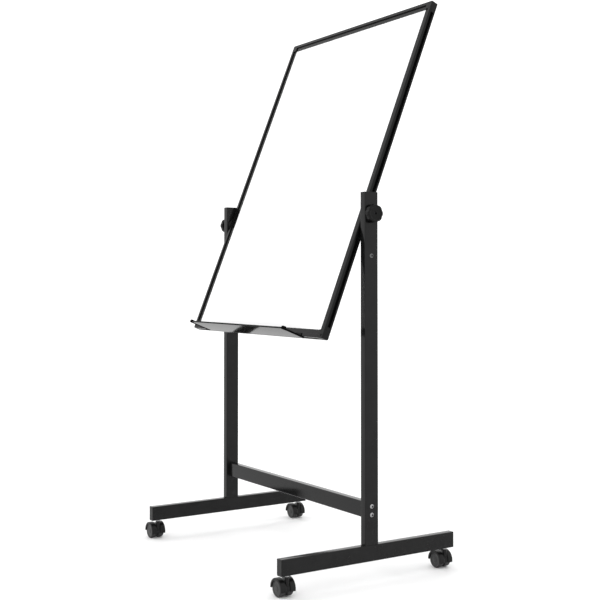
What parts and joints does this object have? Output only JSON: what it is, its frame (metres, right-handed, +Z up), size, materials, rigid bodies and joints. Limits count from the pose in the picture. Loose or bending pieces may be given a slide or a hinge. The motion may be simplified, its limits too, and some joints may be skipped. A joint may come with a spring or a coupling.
{
  "type": "flip chart easel",
  "caption": "Mobile easel: a framed white board with a marker tray, which tilts and slides on knob-clamped pivots in an H-shaped stand on swivel casters.",
  "frame": {"origin": "on the floor, midway between the two uprights and under the board's pivot axis", "axes": "+X to the right of a person writing on the front face, +Y to the rear, +Z up"},
  "size_m": [0.9675, 0.66, 1.8559],
  "materials": {
    "stand_paint": "satin",
    "cap_plastic": "satin",
    "black_anodised": "satin",
    "corner_plastic": "satin",
    "white_enamel": "gloss",
    "core_board": "matte",
    "bright_steel": "satin",
    "zinc_steel": "satin",
    "nylon": "matte",
    "knob_plastic": "satin",
    "brass": "satin",
    "caster_plastic": "satin",
    "wheel_plastic": "satin"
  },
  "bodies": {
    "stand": {"upright_left": "stand_paint", "upright_right": "stand_paint", "upright_cap_left": "cap_plastic", "upright_cap_right": "cap_plastic", "foot_left": "stand_paint", "foot_right": "stand_paint", "foot_end_caps": "cap_plastic", "crossbar": "stand_paint", "crossbar_end_plates": "zinc_steel", "crossbar_bolts": "bright_steel", "upper_screws": "bright_steel", "upper_inserts": "zinc_steel", "pivot_sleeves": "zinc_steel", "knob_washers": "bright_steel", "caster_inserts": "zinc_steel", "caster_stems": "bright_steel"},
    "board": {"rail_left": "black_anodised", "rail_right": "black_anodised", "rail_top": "black_anodised", "rail_bottom": "black_anodised", "corner_top_left": "corner_plastic", "corner_top_right": "corner_plastic", "corner_bottom_left": "corner_plastic", "corner_bottom_right": "corner_plastic", "corner_screws": "bright_steel", "writing_sheet_front": "white_enamel", "board_core": "core_board", "writing_sheet_rear": "white_enamel", "marker_tray": "black_anodised", "tray_cap_left": "corner_plastic", "tray_cap_right": "corner_plastic", "tray_screws": "bright_steel"},
    "pivot_bolts": {"pivot_bolt_left": "bright_steel", "pivot_bolt_right": "bright_steel", "friction_pad_left": "nylon", "friction_pad_right": "nylon"},
    "knob_left": {"knob_left": "knob_plastic", "knob_insert_left": "brass"},
    "knob_right": {"knob_right": "knob_plastic", "knob_insert_right": "brass"},
    "caster_front_left": {"caster_hood_front_left": "caster_plastic", "caster_axle_front_left": "bright_steel"},
    "wheel_front_left_front": {"wheel_front_left_front": "wheel_plastic"},
    "wheel_front_left_rear": {"wheel_front_left_rear": "wheel_plastic"},
    "caster_front_right": {"caster_hood_front_right": "caster_plastic", "caster_axle_front_right": "bright_steel"},
    "wheel_front_right_front": {"wheel_front_right_front": "wheel_plastic"},
    "wheel_front_right_rear": {"wheel_front_right_rear": "wheel_plastic"},
    "caster_rear_left": {"caster_hood_rear_left": "caster_plastic", "caster_axle_rear_left": "bright_steel"},
    "wheel_rear_left_front": {"wheel_rear_left_front": "wheel_plastic"},
    "wheel_rear_left_rear": {"wheel_rear_left_rear": "wheel_plastic"},
    "caster_rear_right": {"caster_hood_rear_right": "caster_plastic", "caster_axle_rear_right": "bright_steel"},
    "wheel_rear_right_front": {"wheel_rear_right_front": "wheel_plastic"},
    "wheel_rear_right_rear": {"wheel_rear_right_rear": "wheel_plastic"}
  },
  "joints": [
    {"name": "board_tilt", "type": "hinge", "parent": "stand", "child": "pivot_bolts", "pos_m": [0, 0, 1.143], "axis": [1, 0, 0], "continuous": true},
    {"name": "board_height", "type": "slide", "parent": "pivot_bolts", "child": "board", "axis": [0, 0.373, 0.9278], "range_m": [-0.43, 0.11]},
    {"name": "knob_left_turn", "type": "hinge", "parent": "pivot_bolts", "child": "knob_left", "pos_m": [-0.4625, 0, 1.143], "axis": [-1, 0, 0], "range_deg": [0, 540]},
    {"name": "knob_right_turn", "type": "hinge", "parent": "pivot_bolts", "child": "knob_right", "pos_m": [0.4625, 0, 1.143], "axis": [1, 0, 0], "range_deg": [0, 540]},
    {"name": "swivel_front_left", "type": "hinge", "parent": "stand", "child": "caster_front_left", "pos_m": [-0.439, -0.3028, 0.0533], "axis": [0, 0, 1], "continuous": true},
    {"name": "roll_front_left_front", "type": "hinge", "parent": "caster_front_left", "child": "wheel_front_left_front", "pos_m": [-0.461, -0.3028, 0.025], "axis": [0, 1, 0], "continuous": true},
    {"name": "roll_front_left_rear", "type": "hinge", "parent": "caster_front_left", "child": "wheel_front_left_rear", "pos_m": [-0.461, -0.3028, 0.025], "axis": [0, 1, 0], "continuous": true},
    {"name": "swivel_front_right", "type": "hinge", "parent": "stand", "child": "caster_front_right", "pos_m": [0.439, -0.3028, 0.0533], "axis": [0, 0, 1], "continuous": true},
    {"name": "roll_front_right_front", "type": "hinge", "parent": "caster_front_right", "child": "wheel_front_right_front", "pos_m": [0.417, -0.3028, 0.025], "axis": [0, 1, 0], "continuous": true},
    {"name": "roll_front_right_rear", "type": "hinge", "parent": "caster_front_right", "child": "wheel_front_right_rear", "pos_m": [0.417, -0.3028, 0.025], "axis": [0, 1, 0], "continuous": true},
    {"name": "swivel_rear_left", "type": "hinge", "parent": "stand", "child": "caster_rear_left", "pos_m": [-0.439, 0.3028, 0.0533], "axis": [0, 0, 1], "continuous": true},
    {"name": "roll_rear_left_front", "type": "hinge", "parent": "caster_rear_left", "child": "wheel_rear_left_front", "pos_m": [-0.461, 0.3028, 0.025], "axis": [0, 1, 0], "continuous": true},
    {"name": "roll_rear_left_rear", "type": "hinge", "parent": "caster_rear_left", "child": "wheel_rear_left_rear", "pos_m": [-0.461, 0.3028, 0.025], "axis": [0, 1, 0], "continuous": true},
    {"name": "swivel_rear_right", "type": "hinge", "parent": "stand", "child": "caster_rear_right", "pos_m": [0.439, 0.3028, 0.0533], "axis": [0, 0, 1], "continuous": true},
    {"name": "roll_rear_right_front", "type": "hinge", "parent": "caster_rear_right", "child": "wheel_rear_right_front", "pos_m": [0.417, 0.3028, 0.025], "axis": [0, 1, 0], "continuous": true},
    {"name": "roll_rear_right_rear", "type": "hinge", "parent": "caster_rear_right", "child": "wheel_rear_right_rear", "pos_m": [0.417, 0.3028, 0.025], "axis": [0, 1, 0], "continuous": true}
  ]
}
